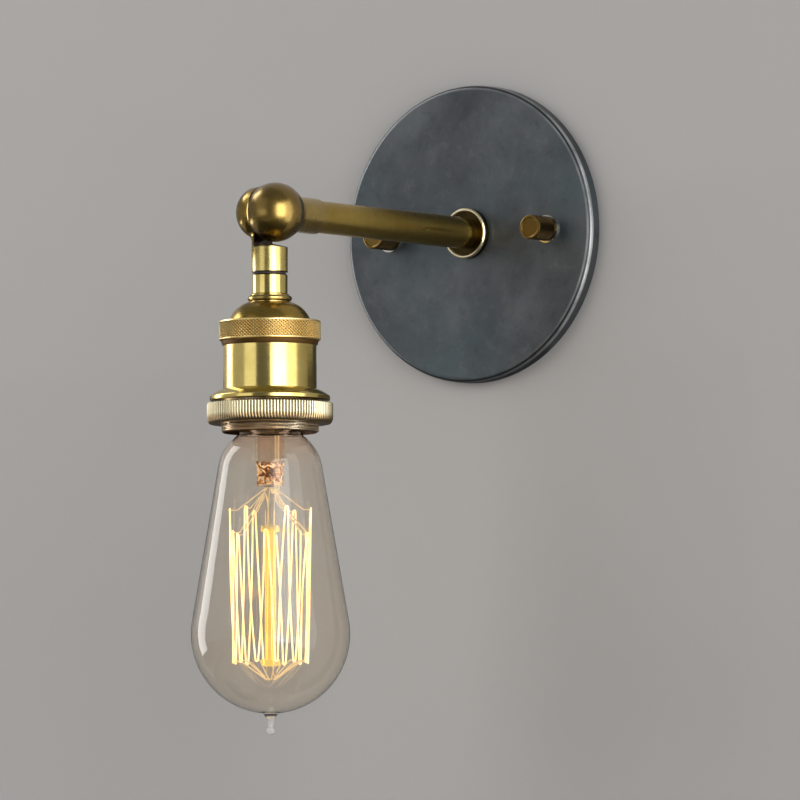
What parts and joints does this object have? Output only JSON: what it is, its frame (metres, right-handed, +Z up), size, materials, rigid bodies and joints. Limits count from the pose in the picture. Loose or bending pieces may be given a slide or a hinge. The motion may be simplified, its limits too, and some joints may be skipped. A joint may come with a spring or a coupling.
{
  "type": "wall light",
  "caption": "Wall light with a round plate, a straight arm, a ball knuckle that tilts the head, and a knurled lamp holder with a clear pear-shaped filament bulb.",
  "frame": {"origin": "centre of the wall plate, on the wall plane, midway between the bracket's two wall slots", "axes": "+Z up, +Y into the wall, -Y along the arm to the room, +X to the right of someone facing the wall"},
  "size_m": [0.122, 0.172, 0.2714],
  "materials": {
    "blackened_steel": "dark blue-grey patina, satin, worn lighter on the rim",
    "aged_brass": "aged satin brass",
    "polished_brass": "polished brass",
    "knurled_brass": "knurled brass",
    "copper_brass": "coppery turned brass",
    "plated_steel": "zinc plated",
    "fibre": "dark vulcanised fibre",
    "bush_plastic": "black insulating plastic",
    "porcelain": "glazed white porcelain",
    "live_insulation": "brown insulation",
    "neutral_insulation": "blue insulation",
    "earth_green": "green plated",
    "clear_glass": "thin clear blown glass, faint warm tint",
    "stem_glass": "clear flint glass",
    "tin": "solder grey",
    "black_glass": "black vitrified insulator",
    "support_wire": "drawn wire",
    "filament_wire": "glowing filament"
  },
  "bodies": {
    "wall_plate": {"mounting_bracket": "plated_steel", "canopy_studs": "plated_steel", "stud_lock_nuts": "plated_steel", "earth_screw": "earth_green", "earth_washer": "plated_steel", "canopy": "blackened_steel", "nut_washers": "plated_steel", "arm_flange": "aged_brass", "arm_ferrule": "aged_brass", "arm_rear_nipple": "plated_steel", "arm_lock_washer": "plated_steel", "arm_lock_nut": "plated_steel", "wire_bush": "bush_plastic", "arm_tube": "aged_brass", "arm_front_nipple": "plated_steel", "live_wire_arm": "live_insulation", "neutral_wire_arm": "neutral_insulation", "knuckle_arm_half": "aged_brass", "friction_washer": "fibre", "spring_washer": "plated_steel", "pivot_screw": "plated_steel"},
    "lamp_head": {"knuckle_head_half": "aged_brass", "neck_washer": "fibre", "neck_coupler": "polished_brass", "collar_ring": "polished_brass", "neck_nipple": "plated_steel", "holder_cap": "polished_brass", "nipple_nut": "plated_steel", "cap_bush": "bush_plastic", "cap_ring": "knurled_brass", "holder_body": "polished_brass", "threaded_barrel": "copper_brass", "ceramic_core": "porcelain", "screw_shell": "polished_brass", "centre_contact": "copper_brass", "side_contact": "copper_brass", "terminal_screws": "plated_steel", "live_wire_head": "live_insulation", "neutral_wire_head": "neutral_insulation"},
    "shade_ring": {"shade_ring": "knurled_brass"},
    "thumb_nut_left": {"thumb_nut_left": "knurled_brass"},
    "thumb_nut_right": {"thumb_nut_right": "knurled_brass"},
    "bulb_foot": {"bulb_contact": "tin", "bulb_insulator": "black_glass"},
    "bulb": {"bulb_base": "polished_brass", "bulb_glass": "clear_glass", "bulb_stem": "stem_glass", "bulb_rod": "stem_glass", "filament": "filament_wire", "upper_supports": "support_wire", "lower_supports": "support_wire", "lead_wires": "support_wire"}
  },
  "joints": [
    {"name": "head_tilt", "type": "hinge", "parent": "wall_plate", "child": "lamp_head", "pos_m": [0, -0.14, 0], "axis": [-1, 0, 0], "range_deg": [-25, 205]},
    {"name": "shade_ring_turn", "type": "hinge", "parent": "lamp_head", "child": "shade_ring", "pos_m": [-0.0028, -0.14, -0.081], "axis": [0, 0, -1], "range_deg": [-180, 180]},
    {"name": "thumb_nut_left_turn", "type": "hinge", "parent": "wall_plate", "child": "thumb_nut_left", "pos_m": [-0.0395, -0.013, 0], "axis": [0, -1, 0], "range_deg": [0, 360]},
    {"name": "thumb_nut_right_turn", "type": "hinge", "parent": "wall_plate", "child": "thumb_nut_right", "pos_m": [0.0395, -0.013, 0], "axis": [0, -1, 0], "range_deg": [0, 360]},
    {"name": "bulb_travel", "type": "slide", "parent": "lamp_head", "child": "bulb_foot", "axis": [0, 0, -1], "range_m": [0, 0.0128]},
    {"name": "bulb_turn", "type": "hinge", "parent": "bulb_foot", "child": "bulb", "pos_m": [-0.0028, -0.14, -0.08], "axis": [0, 0, -1], "range_deg": [0, 1260]}
  ],
  "couplings": [
    {"joint": "bulb_travel", "follows": "bulb_turn", "m_per_rad": 0.00057757}
  ]
}
